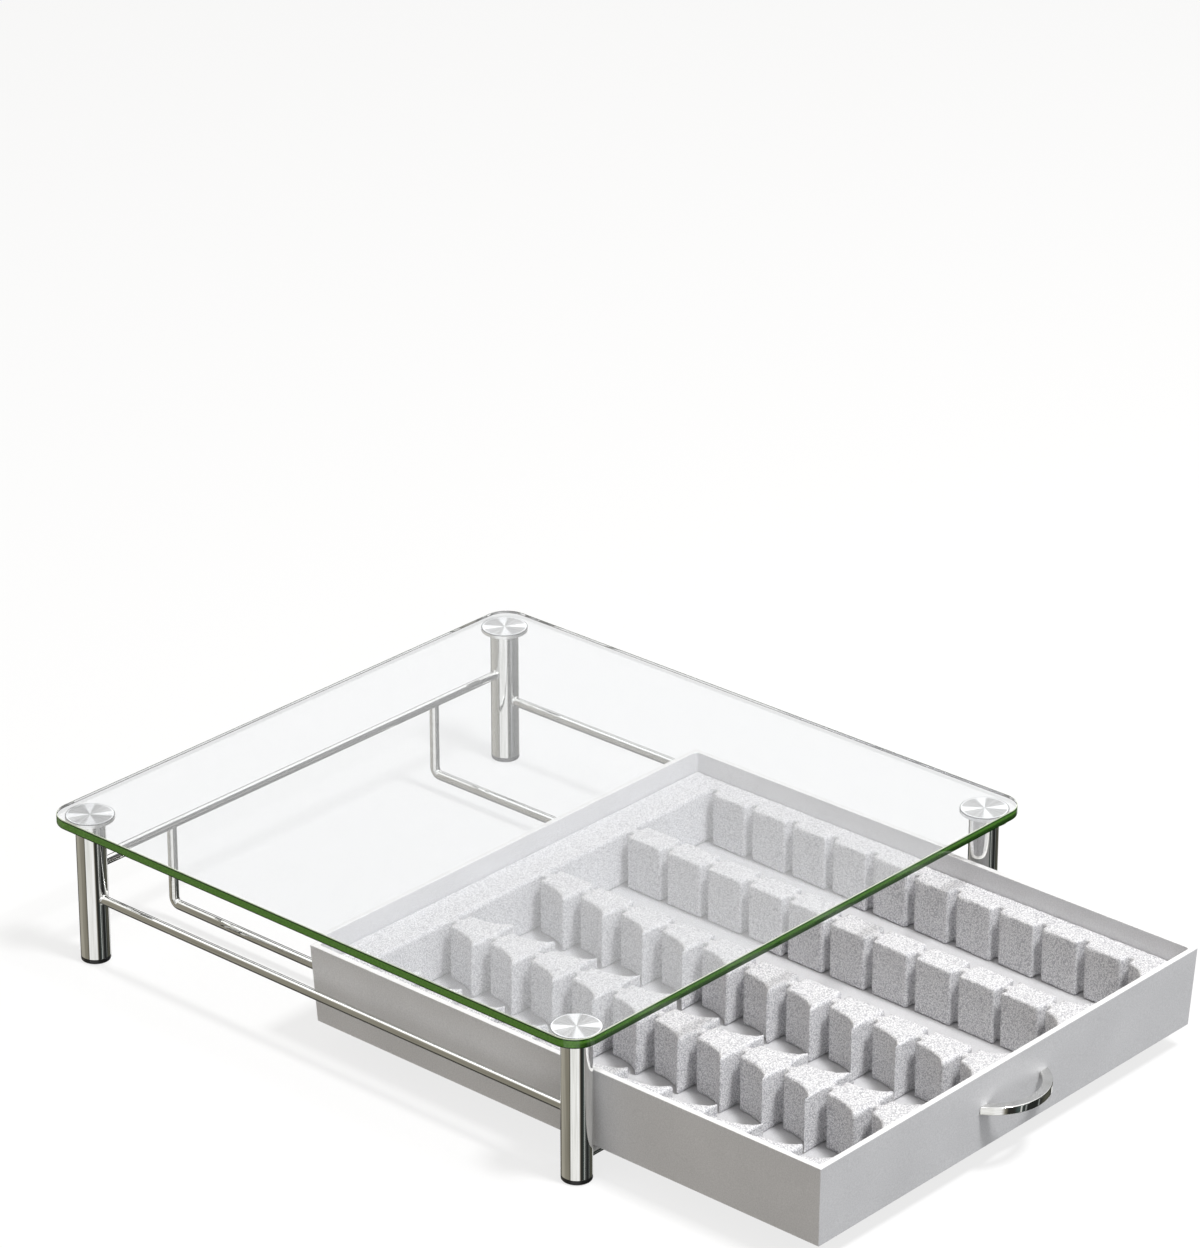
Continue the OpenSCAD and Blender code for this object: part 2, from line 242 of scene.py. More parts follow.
def discMaterial(radius, high):
    material, tree, output = newMaterial("spunAluminium")
    around = addNode(tree, "ShaderNodeUVMap", {"uv_map": "turned"})
    centre = addNode(tree, "ShaderNodeMapping", {"Location": (-0.5, -0.5, 0)}, {"Vector": around.outputs[0]})
    parts = addNode(tree, "ShaderNodeSeparateXYZ", links={0: centre.outputs[0]})
    # painted highlight: bright wedges by angle round the axis, and a painted radial sheen between them
    angle = addNode(tree, "ShaderNodeMath", {"operation": "ARCTAN2"},
                    {0: parts.outputs["Y"], 1: parts.outputs["X"]})
    turned = addNode(tree, "ShaderNodeMath", {
        "operation": "MULTIPLY_ADD", 1: discLook["highlightWedges"],
        2: -discLook["highlightWedges"] * math.radians(discLook["first"])}, {0: angle.outputs[0]})
    highlightWedge = addNode(tree, "ShaderNodeMath", {"operation": "COSINE"}, {0: turned.outputs[0]})
    lobe = addNode(tree, "ShaderNodeMapRange", {
        "From Min": discLook["highlightWedge"][0], "From Max": discLook["highlightWedge"][1]}, {"Value": highlightWedge.outputs[0]})
    spread = addNode(tree, "ShaderNodeVectorMath", {"operation": "NORMALIZE"}, {0: centre.outputs[0]})
    sheen = addNode(tree, "ShaderNodeTexNoise", {"Scale": discLook["sheen"], "Detail": 5.0, "Roughness": 0.7},
                    {"Vector": spread.outputs[0]})
    both = addNode(tree, "ShaderNodeMath", {"operation": "MULTIPLY_ADD", 1: discLook["highlightShare"]},
                   {0: lobe.outputs[0], 2: sheen.outputs[0]})
    tint = addNode(tree, "ShaderNodeValToRGB", links={0: both.outputs[0]})
    setStops(tint, [(discLook["darkest"], linearColor(discLook["dark"])),
                    (1.0, linearColor(discLook["light"]))])
    reach = addNode(tree, "ShaderNodeVectorMath", {"operation": "LENGTH"}, {0: centre.outputs[0]})
    # painted highlight: a bright white band on the chamfer
    chamferHighlightBand = addNode(tree, "ShaderNodeValToRGB", links={0: reach.outputs["Value"]})
    setStops(chamferHighlightBand, [(0.0, grey(0)), (discLook["chamferHighlightBand"][0], grey(0)),
                    (discLook["chamferHighlightBand"][1], grey(1)), (discLook["edge"][0], grey(1))])
    edged = addNode(tree, "ShaderNodeMix", {"data_type": "RGBA", 7: linearColor(discLook["chamferHighlight"])},
                    {0: chamferHighlightBand.outputs[0], 6: tint.outputs[0]})
    outer = addNode(tree, "ShaderNodeMapRange", {
        "From Min": discLook["edge"][0], "From Max": discLook["edge"][1]}, {"Value": reach.outputs["Value"]})
    place = addNode(tree, "ShaderNodeTexCoord")
    tall = addNode(tree, "ShaderNodeSeparateXYZ", links={0: place.outputs["Object"]})
    upper = addNode(tree, "ShaderNodeMath", {"operation": "GREATER_THAN", 1: high - discLook["jointDeep"]},
                    {0: tall.outputs["Z"]})
    rim = addNode(tree, "ShaderNodeMath", {"operation": "MULTIPLY"},
                  {0: outer.outputs[0], 1: upper.outputs[0]})
    ended = addNode(tree, "ShaderNodeMix", {"data_type": "RGBA", 7: linearColor(discLook["joint"])},
                    {0: rim.outputs[0], 6: edged.outputs[2]})
    turns = addNode(tree, "ShaderNodeMath", {
        "operation": "MULTIPLY", 1: 2 * radius / discLook["ring"] * 2 * math.pi}, {0: reach.outputs["Value"]})
    rings = addNode(tree, "ShaderNodeMath", {"operation": "SINE"}, {0: turns.outputs[0]})
    bump = addNode(tree, "ShaderNodeBump", {
        "Strength": discLook["grooveShare"], "Distance": discLook["groove"]}, {"Height": rings.outputs[0]})
    tangent = addNode(tree, "ShaderNodeTangent", {"direction_type": "RADIAL", "axis": "Z"})
    metal = addNode(tree, "ShaderNodeBsdfPrincipled", {
        "Metallic": 1.0, "Roughness": discLook["rough"], "Anisotropic": discLook["anisotropic"]},
        {"Base Color": ended.outputs[2], "Normal": bump.outputs[0], "Tangent": tangent.outputs[0]})
    tree.links.new(metal.outputs[0], output.inputs["Surface"])
    return material


# Zinc-plated steel: blue-grey, with a soft mottled spangle
zincLook = {"light": "#B9BEC2", "dark": "#8F959A", "spangle": 1.5 * mm, "span": (0.1, 0.8), "rough": 0.38}


def zincMaterial():
    material, tree, output = newMaterial("zincPlatedSteel")
    place = addNode(tree, "ShaderNodeTexCoord")
    cells = addNode(tree, "ShaderNodeTexVoronoi", {"Scale": 1 / zincLook["spangle"]},
                    {"Vector": place.outputs["Object"]})
    tint = addNode(tree, "ShaderNodeValToRGB", links={0: cells.outputs["Distance"]})
    setStops(tint, [(zincLook["span"][0], linearColor(zincLook["light"])),
                    (zincLook["span"][1], linearColor(zincLook["dark"]))])
    metal = addNode(tree, "ShaderNodeBsdfPrincipled", {"Metallic": 1.0, "Roughness": zincLook["rough"]},
                    {"Base Color": tint.outputs[0]})
    tree.links.new(metal.outputs[0], output.inputs["Surface"])
    return material


# Moulded black rubber: satin, with a fine mould grain
rubberLook = {
    "light": "#1E1E1F", "dark": "#0C0C0C", "rough": 0.35, "specular": 0.5,
    "grain": 0.4 * mm, "deep": 0.02 * mm, "deepShare": 0.4,
}


def rubberMaterial():
    material, tree, output = newMaterial("mouldedRubber")
    place = addNode(tree, "ShaderNodeTexCoord")
    grain = addNode(tree, "ShaderNodeTexNoise", {"Scale": 1 / rubberLook["grain"], "Detail": 2.0},
                    {"Vector": place.outputs["Object"]})
    tint = addNode(tree, "ShaderNodeValToRGB", links={0: grain.outputs[0]})
    setStops(tint, [(noiseWide[0], linearColor(rubberLook["dark"])),
                    (noiseWide[1], linearColor(rubberLook["light"]))])
    bump = addNode(tree, "ShaderNodeBump", {
        "Strength": rubberLook["deepShare"], "Distance": rubberLook["deep"]}, {"Height": grain.outputs[0]})
    rubber = addNode(tree, "ShaderNodeBsdfPrincipled", {
        "Roughness": rubberLook["rough"], "Specular IOR Level": rubberLook["specular"]},
        {"Base Color": tint.outputs[0], "Normal": bump.outputs[0]})
    tree.links.new(rubber.outputs[0], output.inputs["Surface"])
    return material


# Moulded ABS in satin silver paint: fine metal flake and a soft sheen; the rim's top is painted paler, a
# painted highlight
trayLook = {
    "light": "#DEDEE0", "dark": "#C6C6C8", "paintedRimLight": "#E8E8E8", "paintedRimDark": "#DEDEDE", "metallic": 0.2,
    "rough": (0.4, 0.5), "cloud": 45 * mm, "cloudShare": 0.3,
    "flake": 0.7 * mm,  # clusters of flakes, since a single one is too fine to show
    "deep": 0.015 * mm, "deepShare": 0.2,
}


def trayMaterial(name, light, dark):
    material, tree, output = newMaterial(name)
    place = addNode(tree, "ShaderNodeTexCoord")
    flake = addNode(tree, "ShaderNodeTexNoise", {
        "Scale": 1 / trayLook["flake"], "Detail": 2.0, "Roughness": 0.6}, {"Vector": place.outputs["Object"]})
    cloud = addNode(tree, "ShaderNodeTexNoise", {"Scale": 1 / trayLook["cloud"], "Detail": 2.0},
                    {"Vector": place.outputs["Object"]})
    both = addNode(tree, "ShaderNodeMix", {"data_type": "FLOAT", 0: trayLook["cloudShare"]},
                   {2: flake.outputs[0], 3: cloud.outputs[0]})
    tint = addNode(tree, "ShaderNodeValToRGB", links={0: both.outputs[0]})
    setStops(tint, [(noiseWide[0], linearColor(dark)), (noiseWide[1], linearColor(light))])
    rough = addNode(tree, "ShaderNodeMapRange", {
        "From Min": noiseCore[0], "From Max": noiseCore[1],
        "To Min": trayLook["rough"][0], "To Max": trayLook["rough"][1]}, {"Value": flake.outputs[0]})
    bump = addNode(tree, "ShaderNodeBump", {"Strength": trayLook["deepShare"], "Distance": trayLook["deep"]},
                   {"Height": flake.outputs[0]})
    paint = addNode(tree, "ShaderNodeBsdfPrincipled", {"Metallic": trayLook["metallic"]},
                    {"Base Color": tint.outputs[0], "Roughness": rough.outputs[0], "Normal": bump.outputs[0]})
    tree.links.new(paint.outputs[0], output.inputs["Surface"])
    return material


# Bead foam: matt white, granular, with painted shade in the small pits between the beads
foamLook = {
    "light": "#E8E8E9", "paintedPitShade": "#A8A8AD", "bead": 0.8 * mm, "beadShare": 0.6, "fine": 0.45 * mm,
    "span": (0.6, 1.0), "deep": 0.2 * mm, "deepShare": 0.6, "rough": 0.95, "specular": 0.2,
}


def foamMaterial():
    material, tree, output = newMaterial("whiteBeadFoam")
    place = addNode(tree, "ShaderNodeTexCoord")
    beads = addNode(tree, "ShaderNodeTexVoronoi", {"Scale": 1 / foamLook["bead"], "Randomness": 1.0},
                    {"Vector": place.outputs["Object"]})
    fine = addNode(tree, "ShaderNodeTexNoise", {"Scale": 1 / foamLook["fine"], "Detail": 3.0},
                   {"Vector": place.outputs["Object"]})
    both = addNode(tree, "ShaderNodeMath", {"operation": "MULTIPLY_ADD", 1: foamLook["beadShare"]},
                   {0: beads.outputs["Distance"], 2: fine.outputs[0]})
    # painted shade: the pits between the beads are darker, over the foam's real fine grain
    tint = addNode(tree, "ShaderNodeValToRGB", links={0: both.outputs[0]})
    setStops(tint, [(foamLook["span"][0], linearColor(foamLook["light"])),
                    (foamLook["span"][1], linearColor(foamLook["paintedPitShade"]))])
    bump = addNode(tree, "ShaderNodeBump", {
        "Strength": foamLook["deepShare"], "Distance": foamLook["deep"], "invert": True},
        {"Height": both.outputs[0]})
    foam = addNode(tree, "ShaderNodeBsdfPrincipled", {
        "Roughness": foamLook["rough"], "Specular IOR Level": foamLook["specular"]},
        {"Base Color": tint.outputs[0], "Normal": bump.outputs[0]})
    tree.links.new(foam.outputs[0], output.inputs["Surface"])
    return material


plateLow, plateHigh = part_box("glass_top")
clearGlass, glassEdge = clearGlassMaterial(), glassEdgeMaterial(plateLow.z, plateHigh.z, plateLow.y)
chromedTube = chromeMaterial("chromedTube", (1, 1, 0.05))  # streaks 20 times as long as they are wide
chromedWireY = chromeMaterial("chromedWireLengthwise", (1, 0.04, 1))
chromedWireX = chromeMaterial("chromedWireCrosswise", (0.04, 1, 1))
chromedBow = chromeMaterial("chromedBow", (0.15, 0.15, 1))
zincSteel, blackRubber, whiteFoam = zincMaterial(), rubberMaterial(), foamMaterial()
silverAbs = trayMaterial("satinSilverAbs", trayLook["light"], trayLook["dark"])
silverRimHighlight = trayMaterial("satinSilverAbsRimHighlight", trayLook["paintedRimLight"], trayLook["paintedRimDark"])
print("materials made")

facing = 0.9  # share of its normal along an axis from which a face counts as looking that way
sharp = 0.5  # an edge counts as sharp when the cosine between its faces is below this
near = 0.1 * mm  # a point this close to a level counts as lying on it
weldGap = 0.002 * mm  # points closer than this become one


def deselectAll():
    bpy.ops.object.select_all(action="DESELECT")


def settle(name):  # names the new primitive and puts its place into its mesh
    piece = bpy.context.object
    piece.name = piece.data.name = name
    bpy.ops.object.transform_apply(location=True, rotation=True, scale=True)
    return piece


def addBlock(name, low, high):
    deselectAll()
    bpy.ops.mesh.primitive_cube_add(size=1, location=(low + high) / 2, scale=high - low)
    return settle(name)


def addRod(name, centre, radius, length, axis="Z", sides=96):
    deselectAll()
    leaning = {"X": (0, math.pi / 2, 0), "Y": (math.pi / 2, 0, 0), "Z": (0, 0, 0)}[axis]
    bpy.ops.mesh.primitive_cylinder_add(
        vertices=sides, radius=radius, depth=length, location=centre, rotation=leaning)
    return settle(name)


def addCircle(name, centre, radius, sides, leaning=(0, 0, 0)):  # a flat filled circle, to be extruded
    deselectAll()
    bpy.ops.mesh.primitive_circle_add(
        vertices=sides, radius=radius, fill_type="NGON", location=centre, rotation=leaning)
    return settle(name)


def editPiece(piece):
    deselectAll()
    piece.select_set(True)
    bpy.context.view_layer.objects.active = piece
    bpy.ops.object.mode_set(mode="EDIT")


def pick(piece, kind, test):  # in edit mode, selects only the faces or edges that pass the test
    bpy.ops.mesh.select_mode(type=kind)
    bpy.ops.mesh.select_all(action="DESELECT")
    mesh = bmesh.from_edit_mesh(piece.data)
    mesh.normal_update()
    for x in (mesh.faces if kind == "FACE" else mesh.edges):
        if test(x):
            x.select_set(True)
    mesh.select_flush_mode()
    bmesh.update_edit_mesh(piece.data)


def extrude(x, y, z):
    bpy.ops.mesh.extrude_region_move(TRANSFORM_OT_translate={"value": (x, y, z)})


def middle(edge):
    return (edge.verts[0].co + edge.verts[1].co) / 2


def corner(edge):  # cosine between an edge's two faces
    return edge.link_faces[0].normal.dot(edge.link_faces[1].normal) if len(edge.link_faces) == 2 else 1


def closePiece(piece, materials, angle=35):  # mends, shades and paints a piece that is still in edit mode
    bpy.ops.mesh.select_all(action="SELECT")
    bpy.ops.mesh.remove_doubles(threshold=weldGap)
    bpy.ops.mesh.normals_make_consistent(inside=False)
    bpy.ops.object.mode_set(mode="OBJECT")
    for material in materials:
        piece.data.materials.append(material)
    bpy.ops.object.shade_smooth_by_angle(angle=math.radians(angle))
    weighted = piece.modifiers.new("weighted", "WEIGHTED_NORMAL")  # keeps wide flats flat beside small bevels
    weighted.keep_sharp = True
    bpy.ops.object.modifier_apply(modifier="weighted")


def copyPiece(piece, name, offset):  # a copy with its own mesh, moved in the mesh
    twin = piece.copy()
    twin.data = piece.data.copy()
    twin.name = twin.data.name = name
    bpy.context.collection.objects.link(twin)
    twin.data.transform(Matrix.Translation(offset))
    return twin


def fitPiece(piece, body, node):  # rides on its body, in its finish, in place of its CAD node
    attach(piece, body)
    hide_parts(node)


# Glass plate: round corners, and a narrow arris ground along every edge
plateShape = {"corner": 13 * mm, "cornerSteps": 14, "arris": 0.45 * mm, "arrisSteps": 2, "flat": 0.99}
glassTop = addBlock("glassTop", plateLow, plateHigh)
editPiece(glassTop)
pick(glassTop, "EDGE", lambda e: abs(e.verts[0].co.z - e.verts[1].co.z) > near)
bpy.ops.mesh.bevel(offset=plateShape["corner"], segments=plateShape["cornerSteps"], affect="EDGES")
pick(glassTop, "EDGE", lambda e: corner(e) < sharp)
bpy.ops.mesh.bevel(offset=plateShape["arris"], segments=plateShape["arrisSteps"], affect="EDGES")
closePiece(glassTop, [clearGlass, glassEdge])
for face in glassTop.data.polygons:  # the two wide faces are clear, all the rest is ground edge
    face.material_index = 0 if abs(face.normal.z) > plateShape["flat"] else 1
fitPiece(glassTop, "stand", "glass_top")
print("glass plate made")

# Leg tubes, open at both ends
legShape = {"wall": 1 * mm, "rim": 0.15 * mm, "rimSteps": 2}
legLow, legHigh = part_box("front_left_leg")
legRadius, legCentre = (legHigh.x - legLow.x) / 2, (legLow + legHigh) / 2
leg = addRod("frontLeftLeg", legCentre, legRadius, legHigh.z - legLow.z)
editPiece(leg)
pick(leg, "FACE", lambda f: abs(f.normal.z) > facing)
bpy.ops.mesh.inset(thickness=legShape["wall"])
bpy.ops.mesh.delete(type="ONLY_FACE")
pick(leg, "EDGE", lambda e: len(e.link_faces) == 1)
bpy.ops.mesh.bridge_edge_loops()
pick(leg, "EDGE", lambda e: corner(e) < sharp)
bpy.ops.mesh.bevel(offset=legShape["rim"], segments=legShape["rimSteps"], affect="EDGES")
closePiece(leg, [chromedTube])

# Rubber feet: a rounded pad as wide as the tube, and a plug inside it
footShape = {"round": 0.8 * mm, "roundSteps": 4, "plug": 6.45 * mm}
low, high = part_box("front_left_foot")
showing = legLow.z - low.z
foot = addRod("frontLeftFoot", Vector((legCentre.x, legCentre.y, low.z + showing / 2)), legRadius, showing)
editPiece(foot)
pick(foot, "FACE", lambda f: f.normal.z > facing)
bpy.ops.mesh.inset(thickness=legRadius - footShape["plug"])
extrude(0, 0, high.z - legLow.z)
pick(foot, "EDGE", lambda e: corner(e) < sharp and middle(e).z < low.z + near)
bpy.ops.mesh.bevel(offset=footShape["round"], segments=footShape["roundSteps"], affect="EDGES")
closePiece(foot, [blackRubber])

# Discs a film of glue below the glass, each with its threaded stud
discShape = {"thick": 2 * mm, "glue": 0.04 * mm, "stud": 3 * mm, "bevel": 0.25 * mm, "bevelSteps": 2,
             "sides": 128}
low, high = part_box("front_left_disc")
discRadius = (high.x - low.x) / 2
top, under = high.z - discShape["glue"], high.z - discShape["thick"]
disc = addRod("frontLeftDisc", Vector((legCentre.x, legCentre.y, (top + under) / 2)), discRadius, top - under,
              sides=discShape["sides"])
editPiece(disc)
pick(disc, "FACE", lambda f: f.normal.z < -facing)
bpy.ops.mesh.inset(thickness=discRadius - discShape["stud"])
extrude(0, 0, low.z - under)
pick(disc, "EDGE", lambda e: corner(e) < sharp and middle(e).z > top - near)
bpy.ops.mesh.bevel(offset=discShape["bevel"], segments=discShape["bevelSteps"], affect="EDGES")
closePiece(disc, [discMaterial(discRadius, top)])
turned = disc.data.uv_layers.new(name="turned")
for loop in disc.data.loops:  # seen from above, with the axis at 0.5, 0.5
    place = (disc.data.vertices[loop.vertex_index].co - legCentre) / (2 * discRadius)
    turned.data[loop.index].uv = (place.x + 0.5, place.y + 0.5)

# The same three at the other legs
cornerSet = {"Leg": (leg, "chromed_tube"), "Foot": (foot, "black_rubber"), "Disc": (disc, "brushed_disc")}
for end, word in (("front_right", "frontRight"), ("rear_left", "rearLeft"), ("rear_right", "rearRight")):
    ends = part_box(end + "_leg")
    for kind, (piece, slotName) in cornerSet.items():
        twin = copyPiece(piece, word + kind, (ends[0] + ends[1]) / 2 - legCentre)
        fitPiece(twin, "stand", end + "_" + kind.lower())
for kind, (piece, slotName) in cornerSet.items():
    fitPiece(piece, "stand", "front_left_" + kind.lower())
print("legs, feet and discs made")

# Wires: each end sinks a little into what it is welded to, and widens there to a small weld fillet
wireShape = {
    "sink": 0.6 * mm, "sides": 48,
    "fillet": ((0.1, 1.16), (0.5, 1.07), (1.0, 1.0)),  # millimetres from the leg, and how much wider there
    "root": 1.2,  # how much wider at its sunk end
    "within": 0.01 * mm,  # how close to its place a ring is looked for
}
farLow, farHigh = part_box("rear_right_leg")
farCentre = (farLow + farHigh) / 2


def widen(grow, along, centre):  # scales what is selected, except along the wire
    size = Vector((grow, grow, grow))
    size[along] = 1
    bpy.ops.transform.resize(value=size, center_override=centre)


def addWire(name, node, axis, material):
    low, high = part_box(node)
    centre = (low + high) / 2
    along = {"X": 0, "Y": 1}[axis]
    first, last = legCentre[along], farCentre[along]
    centre[along] = (first + last) / 2
    reach = legRadius - wireShape["sink"]  # from a leg's axis to the end of the wire
    wire = addRod(name, centre, (high.z - low.z) / 2, last - first - 2 * reach, axis, wireShape["sides"])
    editPiece(wire)
    normal = Vector((0, 0, 0))
    normal[along] = 1
    rings = []
    for side, root in ((1, first), (-1, last)):
        for out, grow in wireShape["fillet"]:
            place = centre.copy()
            place[along] = root + side * (legRadius + out * mm)
            rings.append((place, grow))
            bpy.ops.mesh.select_mode(type="EDGE")
            bpy.ops.mesh.select_all(action="SELECT")
            bpy.ops.mesh.bisect(plane_co=place, plane_no=normal)
    for place, grow in rings:
        pick(wire, "EDGE", lambda e: all(
            abs(v.co[along] - place[along]) < wireShape["within"] for v in e.verts))
        widen(grow, along, place)
    pick(wire, "FACE", lambda f: abs(f.normal[along]) > facing)
    widen(wireShape["root"], along, centre)
    closePiece(wire, [material])
    fitPiece(wire, "stand", node)


addWire("leftSideRail", "left_side_rail", "Y", chromedWireY)
addWire("rightSideRail", "right_side_rail", "Y", chromedWireY)
addWire("rearCrossBar", "rear_cross_bar", "X", chromedWireX)
addWire("frontCrossBar", "front_cross_bar", "X", chromedWireX)

# Guide wires: down from the rear bar, round a tight bend, and forward under the tray to the front bar
guideShape = {"bend": 3.8 * mm, "bendSteps": 16, "sink": 0.8 * mm}
low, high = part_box("left_guide_wire")
guideRadius, guideX = (high.x - low.x) / 2, (high.x + low.x) / 2
rearBar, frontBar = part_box("rear_cross_bar"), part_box("front_cross_bar")
rearY = (rearBar[0].y + rearBar[1].y) / 2
baseZ = low.z + guideRadius
topZ = rearBar[0].z + guideShape["sink"]
frontEnd = frontBar[1].y - guideShape["sink"]
bend = guideShape["bend"]
guide = addCircle("leftGuideWire", (guideX, rearY, topZ), guideRadius, wireShape["sides"])
editPiece(guide)
bpy.ops.mesh.select_all(action="SELECT")
extrude(0, 0, baseZ + bend - topZ)
bpy.ops.mesh.spin(steps=guideShape["bendSteps"], angle=math.pi / 2,
                  center=(guideX, rearY - bend, baseZ + bend), axis=(1, 0, 0))
extrude(0, frontEnd - rearY + bend, 0)
closePiece(guide, [chromedWireY])
low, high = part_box("right_guide_wire")
otherGuide = copyPiece(guide, "rightGuideWire", Vector(((low.x + high.x) / 2 - guideX, 0, 0)))
fitPiece(guide, "stand", "left_guide_wire")
fitPiece(otherGuide, "stand", "right_guide_wire")
print("wires made")

# Holes for the two countersunk handle screws, cut from inside the tray
screwShape = {"hole": 1.3 * mm, "head": 2.55 * mm, "headDeep": 1.4 * mm, "behind": 1 * mm, "deep": 4.9 * mm,
              "sides": 48}
screwLow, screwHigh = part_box("handle_screws")
screwX = screwHigh.x - (screwHigh.z - screwLow.z) / 2


def cutScrewHoles(piece):
    for side in (-1, 1):
        start = Vector((side * screwX, screwHigh.y + screwShape["behind"], (screwLow.z + screwHigh.z) / 2))
        drill = addCircle("drill", start, screwShape["head"], screwShape["sides"], (math.pi / 2, 0, 0))
        editPiece(drill)
        bpy.ops.mesh.select_all(action="SELECT")
        extrude(0, -screwShape["behind"], 0)
        extrude(0, -screwShape["headDeep"], 0)
        narrow = screwShape["hole"] / screwShape["head"]
        bpy.ops.transform.resize(value=(narrow, 1, narrow), center_override=start)
        extrude(0, -screwShape["deep"], 0)
        bpy.ops.mesh.select_all(action="SELECT")
        bpy.ops.mesh.normals_make_consistent(inside=False)
        bpy.ops.object.mode_set(mode="OBJECT")
        hole = piece.modifiers.new("screwHole", "BOOLEAN")
        hole.object, hole.solver = drill, "EXACT"
        deselectAll()
        bpy.context.view_layer.objects.active = piece
        bpy.ops.object.modifier_apply(modifier="screwHole")
        bpy.data.objects.remove(drill)


# Tray: leaning walls, crisp outside corners, small moulding fillets inside
trayShape = {
    "wall": 3 * mm, "floor": 2 * mm, "draft": 2 * mm,
    "inside": 1.8 * mm, "insideSteps": 5, "edge": 0.35 * mm, "edgeSteps": 3, "crease": 0.3,
    "rimFacing": 0.6, "rimDeep": 0.3 * mm,
}
trayLow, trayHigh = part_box("drawer_tray")
size, mid = trayHigh - trayLow, (trayLow + trayHigh) / 2
lean = trayShape["draft"] / size.z
tray = addBlock("drawerTray", trayLow, trayHigh)
editPiece(tray)
pick(tray, "FACE", lambda f: f.normal.z < -facing)
shrink = [1 - 2 * trayShape["draft"] / size.x, 1 - 2 * trayShape["draft"] / size.y, 1]
bpy.ops.transform.resize(value=shrink, center_override=mid)
pick(tray, "FACE", lambda f: f.normal.z > facing)
bpy.ops.mesh.inset(thickness=trayShape["wall"])
extrude(0, 0, trayShape["floor"] - size.z)
narrowing = 2 * lean * (size.z - trayShape["floor"])
wallX, wallY = size.x - 2 * trayShape["wall"], size.y - 2 * trayShape["wall"]
bpy.ops.transform.resize(value=(1 - narrowing / wallX, 1 - narrowing / wallY, 1), center_override=mid)


def isInside(edge):
    return all(abs(v.co.x - mid.x) < wallX / 2 + near and abs(v.co.y - mid.y) < wallY / 2 + near
               for v in edge.verts)


pick(tray, "EDGE", lambda e: isInside(e) and (
    min(v.co.z for v in e.verts) < trayLow.z + trayShape["floor"] + near))
bpy.ops.mesh.bevel(offset=trayShape["inside"], segments=trayShape["insideSteps"], affect="EDGES")
pick(tray, "EDGE", lambda e: corner(e) < trayShape["crease"] and not (
    isInside(e) and min(v.co.z for v in e.verts) < trayHigh.z - near))
bpy.ops.mesh.bevel(offset=trayShape["edge"], segments=trayShape["edgeSteps"], affect="EDGES")
bpy.ops.object.mode_set(mode="OBJECT")
cutScrewHoles(tray)
editPiece(tray)
closePiece(tray, [silverAbs, silverRimHighlight])
for face in tray.data.polygons:  # painted highlight: the flat top of the rim and the upper half of its small bevels are painted paler
    onRim = face.normal.z > trayShape["rimFacing"] and face.center.z > trayHigh.z - trayShape["rimDeep"]
    face.material_index = 1 if onRim else 0
fitPiece(tray, "drawer", "drawer_tray")
print("tray made")

# Foam liner: a copy of the die-cut block, with its faces and cut edges roughened like real beads
linerShape = {"weld": 0.005 * mm, "voxel": 1.4 * mm, "lump": 2.2 * mm, "rough": 0.5 * mm, "level": 0.6}
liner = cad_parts["pod_liner"].copy()
liner.data = liner.data.copy()
liner.name = liner.data.name = "podLiner"
liner.data.materials.clear()
for key in list(liner.keys()):
    del liner[key]
liner.parent = None
bpy.context.collection.objects.link(liner)
editPiece(liner)
bpy.ops.mesh.select_all(action="SELECT")
bpy.ops.mesh.remove_doubles(threshold=linerShape["weld"])
bpy.ops.object.mode_set(mode="OBJECT")
remesh = liner.modifiers.new("beads", "REMESH")
remesh.mode, remesh.voxel_size = "VOXEL", linerShape["voxel"]
bpy.ops.object.modifier_apply(modifier="beads")
lumps = bpy.data.textures.new("beadLumps", "CLOUDS")
lumps.noise_scale, lumps.noise_depth = linerShape["lump"], 1
displace = liner.modifiers.new("lumps", "DISPLACE")
displace.texture, displace.texture_coords = lumps, "LOCAL"
displace.strength, displace.mid_level = linerShape["rough"], linerShape["level"]
bpy.ops.object.modifier_apply(modifier="lumps")
liner.data.materials.append(whiteFoam)
bpy.ops.object.shade_smooth()
fitPiece(liner, "drawer", "pod_liner")
print("foam liner made:", len(liner.data.polygons), "faces")

# Bow handle: a flat bar on a circle, cut off where it meets the leaning front
bowShape = {"thick": 5 * mm, "span": 51 * mm, "reach": 15.4 * mm, "edge": 0.55 * mm, "edgeSteps": 3,
            "crease": 0.8, "sides": 256}
low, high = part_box("bow_handle")
bowRadius = (bowShape["span"] ** 2 / 4 + bowShape["reach"] ** 2) / (2 * bowShape["reach"])
bowCentre = Vector(((low.x + high.x) / 2, low.y + bowRadius, (low.z + high.z) / 2))
bow = addRod("bowHandle", bowCentre, bowRadius, high.z - low.z, sides=bowShape["sides"])
editPiece(bow)
pick(bow, "FACE", lambda f: abs(f.normal.z) > facing)
bpy.ops.mesh.inset(thickness=bowShape["thick"])
bpy.ops.mesh.delete(type="ONLY_FACE")
pick(bow, "EDGE", lambda e: len(e.link_faces) == 1)
bpy.ops.mesh.bridge_edge_loops()
panel = Vector((0, trayLow.y + lean * (trayHigh.z - bowCentre.z), bowCentre.z))
bpy.ops.mesh.select_all(action="SELECT")
bpy.ops.mesh.bisect(plane_co=panel, plane_no=(0, 1, lean), use_fill=True, clear_outer=True)
pick(bow, "EDGE", lambda e: corner(e) < bowShape["crease"])
bpy.ops.mesh.bevel(offset=bowShape["edge"], segments=bowShape["edgeSteps"], affect="EDGES")
bpy.ops.object.mode_set(mode="OBJECT")
cutScrewHoles(bow)
editPiece(bow)
closePiece(bow, [chromedBow])
fitPiece(bow, "drawer", "bow_handle")
print("handle made")

